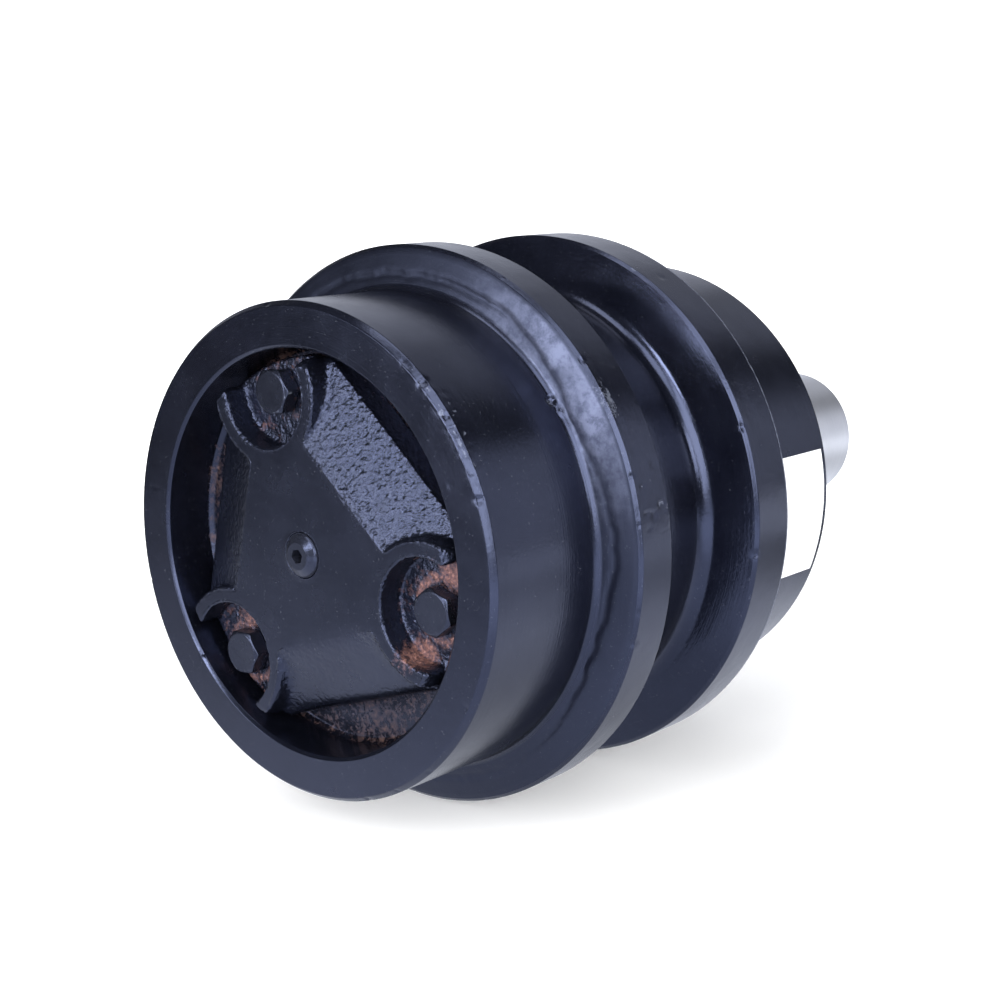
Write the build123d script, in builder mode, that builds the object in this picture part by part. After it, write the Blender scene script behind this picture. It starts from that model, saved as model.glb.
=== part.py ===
from build123d import *
import math
import os

# Carrier roller of a tracked machine: a forged double-flanged roller that
# turns on two bushings about a fixed shaft, held at one end by its stub.
# Frame: +Y along the roller axis from the cover end to the shaft end, +Z up,
# +X to the side. The origin is on the axis where the stub leaves the collar, at
# the face that meets the bracket. Axial stations below are distances behind the
# front rim face.

os.makedirs("parts", exist_ok=True)

# ---------------------------------------------------------------- dimensions
roller_w = 176.5          # rim face to rim face
origin_z = 181.5          # station of the frame's origin, the collar's outer face
tread_r = 75.0            # tread, both ends
flange_r = 88.75          # both guide flanges
groove_r = 71.4           # hub between the flanges
fl1_a, fl1_b = 48.1, 64.0     # front flange, faces at its rim
fl2_a, fl2_b = 109.2, 127.9   # rear flange, faces at its rim
draft_out = 3.2           # how far a flange widens to its root, on the tread side
draft_in = 4.9            # the same on the side of the groove
edge = 1.1                # broken edge on the flange rims
face_edge_r, face_edge_z = 1.5, 1.9   # broken edge where tread meets rim face

recess_r = 61.3           # recess in front of the cover
recess_depth = 18.0
spigot_r = 39.0           # bore that takes the cover's spigot
spigot_bore_z = 27.5
cavity_r = 37.0           # oil space round the retaining plate
wall_front_z = 44.3       # thrust washer seat, front
wall_rear_z = 139.7       # thrust washer seat, rear
bush_bore_r = 29.5
front_bush_z = (44.3, 84.0)
rear_bush_z = (100.0, 139.7)
oil_space_r = 31.5

shaft_r = 25.0            # journal and stub
run_gap = 0.05            # radial running clearance of the bushings
relief_r = 24.2
shoulder_r = 30.0
shoulder_z = (144.0, 169.5)
collar_seat_r = 26.0
collar_end_z = 181.5
shaft_start_z = 40.0
shaft_end_z = 280.95

seal_z = 160.0            # plane where the two lapped seal faces meet
seal_gap = 0.03           # half of the oil film space
ring_in_r, ring_out_r = 34.0, 42.0
ramp_small_r, ramp_large_r = 43.4, 45.4
toric_r, toric_section = 41.05, 3.15
labyrinth_r = 48.6
collar_r = 48.0

bolt_circle_r = 49.3
bolt_angles = (-11.3, 108.7, 228.7)
bolt_turn = (40.0, 5.0, 3.0)       # where one corner of each hexagon points
bolt_r = 4.0
hex_af = 13.0
head_h = 5.3

plateau_z = 0.3           # flat top of the cover
floor_z = 9.0             # pocket floors, bolt heads rest here
flange_top_z = 8.8
cover_r = 58.4
chord_top, chord_low = 26.2, 47.4  # sloping side, distance from the axis
boss_r = 21.6
pocket_r = 16.4
cover_bore_r = 5.0        # threaded for the filler plug


def ya(z):
    """Y of a station z behind the front rim face."""
    return z - origin_z


def at(z):
    """Plane facing the cover end at station z: local x is X, local y is Z."""
    return Plane.XZ.offset(origin_z - z)


def polar(r, a):
    return (r * math.cos(math.radians(a)), r * math.sin(math.radians(a)))


AX = Plane.YZ             # half-section plane: local x is Y, local y is radius

# ================================================================== roller body
# Forged and turned shell, bored for the bushings, the seal and the cover
shell_outer = [
    (0.0, tread_r - face_edge_r),
    (face_edge_z, tread_r),
    (fl1_a - draft_out, tread_r),
    (fl1_a, flange_r - edge),
    (fl1_a + edge, flange_r),
    (fl1_b - edge, flange_r),
    (fl1_b, flange_r - edge),
    (fl1_b + draft_in, groove_r),
    (fl2_a - draft_in, groove_r),
    (fl2_a, flange_r - edge),
    (fl2_a + edge, flange_r),
    (fl2_b - edge, flange_r),
    (fl2_b, flange_r - edge),
    (fl2_b + draft_out, tread_r),
    (roller_w - face_edge_z, tread_r),
    (roller_w, tread_r - face_edge_r),
]
shell_inner = [
    (roller_w, labyrinth_r + 1.0),
    (roller_w - 1.0, labyrinth_r),
    (160.6, labyrinth_r),
    (160.6, ramp_large_r + 0.4),
    (158.5, ramp_large_r),
    (150.5, ramp_small_r),
    (150.5, 34.4),
    (wall_rear_z, 34.4),
    (wall_rear_z, bush_bore_r),
    (rear_bush_z[0], bush_bore_r),
    (rear_bush_z[0], oil_space_r),
    (front_bush_z[1], oil_space_r),
    (front_bush_z[1], bush_bore_r),
    (wall_front_z, bush_bore_r),
    (wall_front_z, cavity_r),
    (spigot_bore_z, cavity_r),
    (spigot_bore_z, spigot_r),
    (recess_depth + 0.8, spigot_r),
    (recess_depth, spigot_r + 0.8),
    (recess_depth, recess_r - 1.6),
    (recess_depth - 1.6, recess_r),
    (0.9, recess_r),
    (0.0, recess_r + 0.9),
]
with BuildPart() as roller_shell:
    with BuildSketch(AX):
        with BuildLine():
            Polyline(*[(ya(z), r) for z, r in shell_outer + shell_inner], close=True)
        make_face()
    revolve(axis=Axis.Y)
    # forging radii where the flanges grow out of the treads and the hub
    roots = roller_shell.edges().filter_by(GeomType.CIRCLE)
    fillet([e for e in roots if abs(e.radius - tread_r) < 0.01
            and abs(e.arc_center.Y - ya(fl1_a - draft_out)) < 0.05], radius=2.6)
    roots = roller_shell.edges().filter_by(GeomType.CIRCLE)
    fillet([e for e in roots if abs(e.radius - tread_r) < 0.01
            and abs(e.arc_center.Y - ya(fl2_b + draft_out)) < 0.05], radius=2.6)
    roots = roller_shell.edges().filter_by(GeomType.CIRCLE)
    fillet([e for e in roots if abs(e.radius - groove_r) < 0.01], radius=6.0)
    # tapped holes for the cover bolts
    with BuildSketch(at(recess_depth + 22.0)):
        with PolarLocations(bolt_circle_r, 3, start_angle=bolt_angles[0]):
            Circle(bolt_r + 0.03)
    extrude(amount=23.0, mode=Mode.SUBTRACT)
roller_shell.part.label = "roller_shell"
export_step(roller_shell.part, "parts/roller_shell.step")


# Wrapped bimetal bushings, pressed into the shell
def bushing(z0, z1):
    with BuildPart() as bush:
        with BuildSketch(AX):
            with BuildLine():
                Polyline(
                    (ya(z0), shaft_r + run_gap + 0.8), (ya(z0 + 0.8), shaft_r + run_gap),
                    (ya(z1 - 0.8), shaft_r + run_gap), (ya(z1), shaft_r + run_gap + 0.8),
                    (ya(z1), bush_bore_r - 0.6), (ya(z1 - 0.6), bush_bore_r),
                    (ya(z0 + 0.6), bush_bore_r), (ya(z0), bush_bore_r - 0.6), close=True)
            make_face()
        revolve(axis=Axis.Y)
        # oil groove round the middle of the bore
        with BuildSketch(AX):
            with Locations((ya((z0 + z1) / 2), shaft_r + run_gap)):
                Circle(1.2)
        revolve(axis=Axis.Y, mode=Mode.SUBTRACT)
        # oil groove along the bore
        with BuildSketch(at(z1)):
            with Locations((0, -(shaft_r + run_gap))):
                Circle(1.2)
        extrude(amount=z1 - z0, mode=Mode.SUBTRACT)
    return bush.part


front_bushing = bushing(*front_bush_z)
front_bushing.label = "front_bushing"
export_step(front_bushing, "parts/front_bushing.step")

rear_bushing = bushing(*rear_bush_z)
rear_bushing.label = "rear_bushing"
export_step(rear_bushing, "parts/rear_bushing.step")


# Thrust washers, one at each end of the bearing length, with three oil grooves
def thrust_washer(z_seat, z_face, outer_r):
    with BuildPart() as washer:
        with BuildSketch(at(max(z_seat, z_face))):
            Circle(outer_r)
            Circle(shaft_r + 0.5, mode=Mode.SUBTRACT)
        extrude(amount=abs(z_face - z_seat))
        with BuildSketch(at(z_face)):
            with PolarLocations(29.5, 3, start_angle=90):
                Rectangle(16.0, 3.0)
        extrude(amount=0.8 if z_face > z_seat else -0.8, mode=Mode.SUBTRACT)
    return washer.part


front_thrust_washer = thrust_washer(wall_front_z, shaft_start_z + 0.3, cavity_r - 0.2)
front_thrust_washer.label = "front_thrust_washer"
export_step(front_thrust_washer, "parts/front_thrust_washer.step")

rear_thrust_washer = thrust_washer(wall_rear_z, shoulder_z[0] - 0.3, 34.2)
rear_thrust_washer.label = "rear_thrust_washer"
export_step(rear_thrust_washer, "parts/rear_thrust_washer.step")

# Cast cover: a three-lobed flange, a raised flat with sloping sides, and a
# pocket in each lobe for a bolt head, open towards the rim
lip_mid = (pocket_r + boss_r) / 2
tip_r = (boss_r - pocket_r) / 2
# where, round each bolt, the pocket wall's two rounded tips stand
tip_turn = math.degrees(math.acos(
    ((cover_r - tip_r) ** 2 - bolt_circle_r ** 2 - lip_mid ** 2)
    / (2 * bolt_circle_r * lip_mid)))
with BuildPart() as end_cover:
    # raised body, a three-sided frustum
    with BuildSketch(at(flange_top_z)):
        RegularPolygon(chord_low, 3, major_radius=False, rotation=bolt_angles[0])
    with BuildSketch(at(plateau_z)):
        RegularPolygon(chord_top, 3, major_radius=False, rotation=bolt_angles[0])
    loft()
    # flange
    with BuildSketch(at(recess_depth)):
        RegularPolygon(chord_low, 3, major_radius=False, rotation=bolt_angles[0])
    extrude(amount=recess_depth - flange_top_z)
    # lobes round the bolts, with draft
    with BuildSketch(at(recess_depth)):
        with PolarLocations(bolt_circle_r, 3, start_angle=bolt_angles[0]):
            Circle(boss_r + 0.9)
    extrude(amount=recess_depth - plateau_z, taper=2.9)
    # round outside, rolled over towards the front
    with BuildSketch(AX):
        with BuildLine():
            Polyline((ya(recess_depth), 0), (ya(recess_depth), cover_r - 0.4),
                     (ya(recess_depth - 0.4), cover_r), (ya(4.5), cover_r),
                     (ya(plateau_z), cover_r - 2.2), (ya(plateau_z), 0), close=True)
        make_face()
    revolve(axis=Axis.Y, mode=Mode.INTERSECT)
    # bolt pockets, open outwards between two round-ended walls
    with BuildSketch(at(floor_z)):
        for a in bolt_angles:
            with Locations(Location(polar(bolt_circle_r, a) + (0,), a)):
                Circle(pocket_r)
                Polygon((0, 0), polar(30, -tip_turn), polar(40, -tip_turn / 2), (40, 0),
                        polar(40, tip_turn / 2), polar(30, tip_turn), align=None)
        for a in bolt_angles:
            for s in (-1, 1):
                with Locations(Location(polar(bolt_circle_r, a) + (0,), a)):
                    with Locations(polar(lip_mid, s * tip_turn)):
                        Circle(tip_r, mode=Mode.SUBTRACT)
    extrude(amount=floor_z + 5, mode=Mode.SUBTRACT)
    # inside: hollowed behind the flat, with the spigot
    with BuildSketch(AX):
        with BuildLine():
            Polyline((ya(recess_depth), 0), (ya(recess_depth), spigot_r - 0.05),
                     (ya(25.0), spigot_r - 0.05), (ya(25.4), spigot_r - 0.6),
                     (ya(25.4), 0), close=True)
        make_face()
    revolve(axis=Axis.Y)
    with BuildSketch(AX):
        with BuildLine():
            Polyline((ya(9.5), 0), (ya(9.5), 27.0), (ya(12.5), 31.0),
                     (ya(25.5), 31.6), (ya(25.5), 0), close=True)
        make_face()
    revolve(axis=Axis.Y, mode=Mode.SUBTRACT)
    # seal groove round the spigot
    with BuildSketch(AX):
        with BuildLine():
            Polyline((ya(20.2), 36.6), (ya(23.6), 36.6), (ya(23.6), 40.0),
                     (ya(20.2), 40.0), close=True)
        make_face()
    revolve(axis=Axis.Y, mode=Mode.SUBTRACT)
    # bolt holes and the filler hole with its seat
    with BuildSketch(at(recess_depth + 0.5)):
        with PolarLocations(bolt_circle_r, 3, start_angle=bolt_angles[0]):
            Circle(4.5)
        Circle(cover_bore_r)
    extrude(amount=recess_depth + 2, mode=Mode.SUBTRACT)
    with BuildSketch(at(1.1)):
        Circle(6.9)
    extrude(amount=2.0, mode=Mode.SUBTRACT)
end_cover.part.label = "end_cover"
export_step(end_cover.part, "parts/end_cover.step")

# O-ring in the spigot's groove
with BuildPart() as cover_o_ring:
    with BuildSketch(AX):
        with Locations((ya(21.9), 37.8)):
            Ellipse(1.55, 1.12)
    revolve(axis=Axis.Y)
cover_o_ring.part.label = "cover_o_ring"
export_step(cover_o_ring.part, "parts/cover_o_ring.step")


# Hexagon head bolt standing at station z, head towards the cover end
def hex_bolt(z, length, turn, where):
    x, zz = where
    head_plane = Plane(at(z).origin + Vector(x, 0, zz), x_dir=(1, 0, 0), z_dir=(0, -1, 0))
    with BuildPart() as bolt:
        with BuildSketch(head_plane):
            RegularPolygon(hex_af / 2, 6, major_radius=False, rotation=turn)
        extrude(amount=head_h)
        # turned face with the corners taken off at 30 degrees
        with BuildSketch(Plane(head_plane.origin, x_dir=(0, -1, 0), z_dir=(1, 0, 0))):
            with BuildLine():
                Polyline((0, 0), (0, 9.0), (head_h - 1.35, 9.0 - 0.55), (head_h - 0.02, 6.15),
                         (head_h, 6.1), (head_h, 0), close=True)
            make_face()
        revolve(axis=Axis(head_plane.origin, (0, 1, 0)), mode=Mode.INTERSECT)
        with BuildSketch(head_plane):
            Circle(bolt_r)
        extrude(amount=-(length - 1.0))
        with BuildSketch(head_plane.offset(-(length - 1.0))):
            Circle(bolt_r)
        extrude(amount=-1.0, taper=40)
    return bolt.part


cover_bolt_list = [hex_bolt(floor_z, 25.0, t, polar(bolt_circle_r, a))
                   for a, t in zip(bolt_angles, bolt_turn)]
with BuildPart() as cover_bolts:
    for b in cover_bolt_list:
        add(b)
cover_bolts.part.label = "cover_bolts"
export_step(cover_bolts.part, "parts/cover_bolts.step")

# Filler plug with a low conical head and a hexagon socket
with BuildPart() as filler_plug:
    with BuildSketch(AX):
        with BuildLine():
            Polyline((ya(-1.7), 0), (ya(-1.7), 4.1), (ya(-1.4), 4.5), (ya(-0.3), 6.2),
                     (ya(0.25), 6.5), (ya(0.3), 6.5), (ya(0.3), cover_bore_r - 0.02),
                     (ya(8.0), cover_bore_r - 0.02), (ya(9.0), cover_bore_r - 0.9),
                     (ya(9.0), 0), close=True)
        make_face()
    revolve(axis=Axis.Y)
    with BuildSketch(at(3.0)):
        RegularPolygon(2.0, 6, major_radius=False, rotation=12)
    extrude(amount=6.0, mode=Mode.SUBTRACT)
filler_plug.part.label = "filler_plug"
export_step(filler_plug.part, "parts/filler_plug.step")

# Sealing washer under the plug's head
with BuildPart() as filler_plug_washer:
    with BuildSketch(at(1.1)):
        Circle(6.7)
        Circle(cover_bore_r + 0.05, mode=Mode.SUBTRACT)
    extrude(amount=0.8)
filler_plug_washer.part.label = "filler_plug_washer"
export_step(filler_plug_washer.part, "parts/filler_plug_washer.step")


# Floating face seal: two equal metal rings with lapped faces, each carried by
# a rubber toric. side is -1 for the half in the shell, +1 for the half in the collar
def seal_ring(side):
    pts = [(seal_gap, ring_in_r + 1.2), (seal_gap, ring_out_r), (2.6, ring_out_r),
           (2.6, 38.6), (3.0, 38.2), (8.5, 37.5), (8.5, ring_in_r), (1.2, ring_in_r)]
    with BuildPart() as ring:
        with BuildSketch(AX):
            with BuildLine():
                Polyline(*[(ya(seal_z + side * z), r) for z, r in pts], close=True)
            make_face()
        revolve(axis=Axis.Y)
    return ring.part


def toric(side):
    with BuildPart() as ring:
        with BuildSketch(AX):
            with Locations((ya(seal_z + side * 5.75), toric_r)):
                Circle(toric_section)
        revolve(axis=Axis.Y)
    return ring.part


rotating_seal_ring = seal_ring(-1)
rotating_seal_ring.label = "rotating_seal_ring"
export_step(rotating_seal_ring, "parts/rotating_seal_ring.step")

rotating_toric = toric(-1)
rotating_toric.label = "rotating_toric"
export_step(rotating_toric, "parts/rotating_toric.step")

stationary_seal_ring = seal_ring(1)
stationary_seal_ring.label = "stationary_seal_ring"
export_step(stationary_seal_ring, "parts/stationary_seal_ring.step")

stationary_toric = toric(1)
stationary_toric.label = "stationary_toric"
export_step(stationary_toric, "parts/stationary_toric.step")

# Blank sticker on the rear tread
label_a, label_b = 133.6, 172.5
label_angle0, label_angle1 = -19.7, 13.0
with BuildPart() as blank_label:
    with BuildSketch(AX):
        with BuildLine():
            Polyline((ya(label_a), tread_r), (ya(label_b), tread_r),
                     (ya(label_b), tread_r + 0.15), (ya(label_a), tread_r + 0.15), close=True)
        make_face()
    # the half-section starts at the top; positive turns about +Y go towards +X
    revolve(axis=Axis.Y, revolution_arc=label_angle1 - label_angle0)
blank_sheet = blank_label.part.rotate(Axis.Y, 90 - label_angle1)
blank_sheet.label = "blank_label"
export_step(blank_sheet, "parts/blank_label.step")

# =================================================================== shaft body
# Ground shaft: journals, thrust shoulder, collar seat and the mounting stub
shaft_profile = [
    (shaft_start_z, 0), (shaft_start_z, shaft_r - 1.0), (shaft_start_z + 1.0, shaft_r),
    (86.0, shaft_r), (87.0, relief_r), (97.0, relief_r), (98.0, shaft_r),
    (shoulder_z[0], shaft_r), (shoulder_z[0], shoulder_r), (shoulder_z[1], shoulder_r),
    (shoulder_z[1], collar_seat_r), (173.6, collar_seat_r), (173.6, collar_seat_r - 2.0),
    (176.8, collar_seat_r - 2.0), (176.8, collar_seat_r), (collar_end_z - 0.6, collar_seat_r),
    (collar_end_z, shaft_r), (shaft_end_z - 2.0, shaft_r), (shaft_end_z, shaft_r - 2.0),
    (shaft_end_z, 0),
]
with BuildPart() as shaft:
    with BuildSketch(AX):
        with BuildLine():
            Polyline(*[(ya(z), r) for z, r in shaft_profile], close=True)
        make_face()
    revolve(axis=Axis.Y)
    # tapped holes for the retaining plate, oil drilling along the axis
    with BuildSketch(at(60.0)):
        with PolarLocations(14.0, 3, start_angle=90):
            Circle(bolt_r + 0.03)
    extrude(amount=21.0, mode=Mode.SUBTRACT)
    with BuildSketch(at(92.0)):
        Circle(3.0)
    extrude(amount=53.0, mode=Mode.SUBTRACT)
    # cross drilling to the oil space between the bushings
    with BuildSketch(Plane.XY.offset(-30.0)):
        with Locations((0, ya(92.0))):
            Circle(2.5)
    extrude(amount=60.0, mode=Mode.SUBTRACT)
    # turning centre in the stub's end
    with BuildSketch(AX):
        with BuildLine():
            Polyline((ya(shaft_end_z + 0.1), 0), (ya(shaft_end_z + 0.1), 4.1),
                     (ya(shaft_end_z - 3.6), 2.0), (ya(shaft_end_z - 8.0), 2.0),
                     (ya(shaft_end_z - 9.2), 0), close=True)
        make_face()
    revolve(axis=Axis.Y, mode=Mode.SUBTRACT)
shaft.part.label = "shaft"
export_step(shaft.part, "parts/shaft.step")

# Plate on the shaft's inner end, which keeps the roller on the shaft
with BuildPart() as retaining_plate:
    with BuildSketch(AX):
        with BuildLine():
            Polyline((ya(shaft_start_z), 5.0), (ya(shaft_start_z), 33.0),
                     (ya(35.0), 33.0), (ya(34.0), 32.0), (ya(34.0), 5.0), close=True)
        make_face()
    revolve(axis=Axis.Y)
    with BuildSketch(at(shaft_start_z + 0.5)):
        with PolarLocations(14.0, 3, start_angle=90):
            Circle(4.5)
    extrude(amount=8.0, mode=Mode.SUBTRACT)
retaining_plate.part.label = "retaining_plate"
export_step(retaining_plate.part, "parts/retaining_plate.step")

# Spring washers and bolts that hold the plate
with BuildPart() as retaining_plate_washers:
    with BuildSketch(at(34.0)):
        with PolarLocations(14.0, 3, start_angle=90):
            Circle(7.3)
            Circle(4.2, mode=Mode.SUBTRACT)
    extrude(amount=2.0)
    # the split of each washer
    for a in (90.0, 210.0, 330.0):
        with BuildSketch(at(34.5)):
            with Locations(Location(polar(14.0 + 5.75, a) + (0,), a)):
                Rectangle(4.5, 0.9)
        extrude(amount=3.0, mode=Mode.SUBTRACT)
retaining_plate_washers.part.label = "retaining_plate_washers"
export_step(retaining_plate_washers.part, "parts/retaining_plate_washers.step")

plate_bolt_list = [hex_bolt(32.0, 26.0, 0.0, polar(14.0, a)) for a in (90.0, 210.0, 330.0)]
with BuildPart() as retaining_plate_bolts:
    for b in plate_bolt_list:
        add(b)
retaining_plate_bolts.part.label = "retaining_plate_bolts"
export_step(retaining_plate_bolts.part, "parts/retaining_plate_bolts.step")

# Collar: closes the open end, carries the fixed half of the seal
with BuildPart() as seal_collar:
    with BuildSketch(AX):
        with BuildLine():
            Polyline(
                (ya(shoulder_z[1]), collar_seat_r), (ya(shoulder_z[1]), ramp_small_r),
                (ya(161.5), ramp_large_r), (ya(161.5), collar_r - 0.8), (ya(162.3), collar_r),
                (ya(collar_end_z - 1.5), collar_r), (ya(collar_end_z), collar_r - 1.5),
                (ya(collar_end_z), collar_seat_r + 0.6), (ya(collar_end_z - 0.6), collar_seat_r),
                close=True)
        make_face()
    revolve(axis=Axis.Y)
seal_collar.part.label = "seal_collar"
export_step(seal_collar.part, "parts/seal_collar.step")

# O-ring between the collar and the shaft
with BuildPart() as collar_o_ring:
    with BuildSketch(AX):
        with Locations((ya(175.2), collar_seat_r - 1.0)):
            Ellipse(1.4, 0.95)
    revolve(axis=Axis.Y)
collar_o_ring.part.label = "collar_o_ring"
export_step(collar_o_ring.part, "parts/collar_o_ring.step")
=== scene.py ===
import math

import bmesh
import bpy
import numpy as np
from mathutils import Matrix, Vector


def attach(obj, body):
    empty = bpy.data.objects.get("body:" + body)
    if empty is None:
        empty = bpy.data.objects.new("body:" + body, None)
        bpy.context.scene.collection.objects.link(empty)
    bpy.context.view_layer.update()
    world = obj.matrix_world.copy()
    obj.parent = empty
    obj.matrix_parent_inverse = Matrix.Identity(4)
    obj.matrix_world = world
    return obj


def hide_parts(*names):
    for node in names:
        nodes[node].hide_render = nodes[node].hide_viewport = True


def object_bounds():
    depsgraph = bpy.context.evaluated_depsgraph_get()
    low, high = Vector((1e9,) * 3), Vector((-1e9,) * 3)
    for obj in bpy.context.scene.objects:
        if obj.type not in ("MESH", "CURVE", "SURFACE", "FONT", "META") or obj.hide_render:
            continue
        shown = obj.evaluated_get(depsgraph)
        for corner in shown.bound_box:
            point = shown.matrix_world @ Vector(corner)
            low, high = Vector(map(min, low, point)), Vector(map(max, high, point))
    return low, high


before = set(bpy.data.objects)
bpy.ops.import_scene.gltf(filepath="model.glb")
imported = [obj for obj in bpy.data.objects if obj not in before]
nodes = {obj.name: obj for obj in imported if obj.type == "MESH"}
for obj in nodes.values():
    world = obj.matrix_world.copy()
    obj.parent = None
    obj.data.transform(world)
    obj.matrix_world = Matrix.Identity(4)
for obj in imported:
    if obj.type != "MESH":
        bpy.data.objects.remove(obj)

cad_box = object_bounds()

# Stations z below are millimetres behind the front rim face, as in the model.
# The frame's origin is at station 181.5 on the axis, +Y along the axis.
ORIGIN_Z = 181.5
MM = 0.001


# ------------------------------------------------------------------ noise fields
def lattice(i, j, k, seed):
    n = (i * 73856093) ^ (j * 19349663) ^ (k * 83492791) ^ (seed * 974711)
    n = (n ^ (n >> 13)) & 0x7FFFFFFF
    n = (n * 1274126177) & 0x7FFFFFFF
    n = (n ^ (n >> 15)) & 0x7FFFFFFF
    n = (n * 668265263) & 0x7FFFFFFF
    n = (n ^ (n >> 16)) & 0x7FFFFFFF
    return n / 1073741823.5 - 1.0


def vnoise(p, cell, seed):
    """Smooth noise in -1..1 at points p (mm), with lumps about one cell wide."""
    q = np.asarray(p, float) / cell + 1000.0
    b = np.floor(q).astype(np.int64)
    f = q - b
    f = f * f * f * (f * (f * 6 - 15) + 10)
    out = 0.0
    for a in (0, 1):
        wa = f[:, 0] if a else 1 - f[:, 0]
        for c in (0, 1):
            wc = f[:, 1] if c else 1 - f[:, 1]
            for e in (0, 1):
                we = f[:, 2] if e else 1 - f[:, 2]
                out = out + wa * wc * we * lattice(b[:, 0] + a, b[:, 1] + c, b[:, 2] + e, seed)
    return out


def fbm(p, cell, seed, octaves=3, gain=0.5):
    total, amp, norm = 0.0, 1.0, 0.0
    for o in range(octaves):
        total = total + amp * vnoise(p, cell / 2 ** o, seed + 17 * o)
        norm += amp
        amp *= gain
    return total / norm


def smooth(x, lo, hi):
    t = np.clip((x - lo) / (hi - lo), 0, 1)
    return t * t * (3 - 2 * t)


# --------------------------------------------------------------- mesh helpers
def make_object(name, verts, faces):
    """Object from vertices in metres and faces of equal corner count."""
    me = bpy.data.meshes.new(name)
    verts = np.asarray(verts, np.float32)
    faces = np.asarray(faces, np.int32)
    n, k = faces.shape
    me.vertices.add(len(verts))
    me.vertices.foreach_set("co", verts.ravel())
    me.loops.add(n * k)
    me.loops.foreach_set("vertex_index", faces.ravel())
    me.polygons.add(n)
    me.polygons.foreach_set("loop_start", np.arange(0, n * k, k, dtype=np.int32))
    me.polygons.foreach_set("loop_total", np.full(n, k, np.int32))
    me.polygons.foreach_set("use_smooth", np.ones(n, bool))
    me.update(calc_edges=True)
    me.validate()
    ob = bpy.data.objects.new(name, me)
    bpy.context.scene.collection.objects.link(ob)
    return ob


def attribute(ob, name, values):
    at = ob.data.attributes.new(name, "FLOAT", "POINT")
    at.data.foreach_set("value", np.asarray(values, np.float32))


def coords(me):
    co = np.empty(len(me.vertices) * 3, np.float32)
    me.vertices.foreach_get("co", co)
    return co.reshape(-1, 3).astype(float)


def normals(me):
    no = np.empty(len(me.vertices) * 3, np.float32)
    me.vertices.foreach_get("normal", no)
    return no.reshape(-1, 3).astype(float)


def rounded(points):
    """(z, r, fillet radius) corners of a closed profile -> dense (z, r) line."""
    out = []
    n = len(points)
    for i in range(n):
        a, b, c = (np.array(points[(i + s) % n][:2], float) for s in (-1, 0, 1))
        rad = points[i][2]
        u, v = (a - b), (c - b)
        lu, lv = np.linalg.norm(u), np.linalg.norm(v)
        u, v = u / lu, v / lv
        half = math.acos(max(-1, min(1, float(u @ v)))) / 2
        if rad <= 0 or half > 1.55:
            out.append((b, True))
            continue
        t = rad / math.tan(half)
        t = min(t, 0.48 * lu, 0.48 * lv)
        rad = t * math.tan(half)
        mid = (u + v) / np.linalg.norm(u + v)
        centre = b + mid * (rad / math.sin(half))
        p0, p1 = b + u * t, b + v * t
        a0 = math.atan2(*(p0 - centre)[::-1])
        a1 = math.atan2(*(p1 - centre)[::-1])
        d = (a1 - a0 + math.pi) % (2 * math.pi) - math.pi
        steps = max(3, int(abs(d) * max(3.0, rad * 2.2)))
        for s in range(steps + 1):
            ang = a0 + d * s / steps
            out.append((centre + rad * np.array([math.cos(ang), math.sin(ang)]), True))
    return [p for p, _ in out]


def refine(line, spacing):
    """Adds points on the long runs of a closed line; spacing(point) in mm."""
    out = []
    n = len(line)
    for i in range(n):
        a, b = line[i], line[(i + 1) % n]
        out.append(a)
        gap = np.linalg.norm(b - a)
        step = spacing((a + b) / 2)
        k = int(math.ceil(gap / step))
        if k > 1:
            # closer near both ends, so that the shading of the edge stays local
            ts = [j / k for j in range(1, k)]
            if gap > 1.2:
                ts = [0.18 / gap] + ts + [1 - 0.18 / gap]
            for t in sorted(ts):
                if 0.12 / gap < t < 1 - 0.12 / gap:
                    out.append(a + (b - a) * t)
    return np.array(out)


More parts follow.
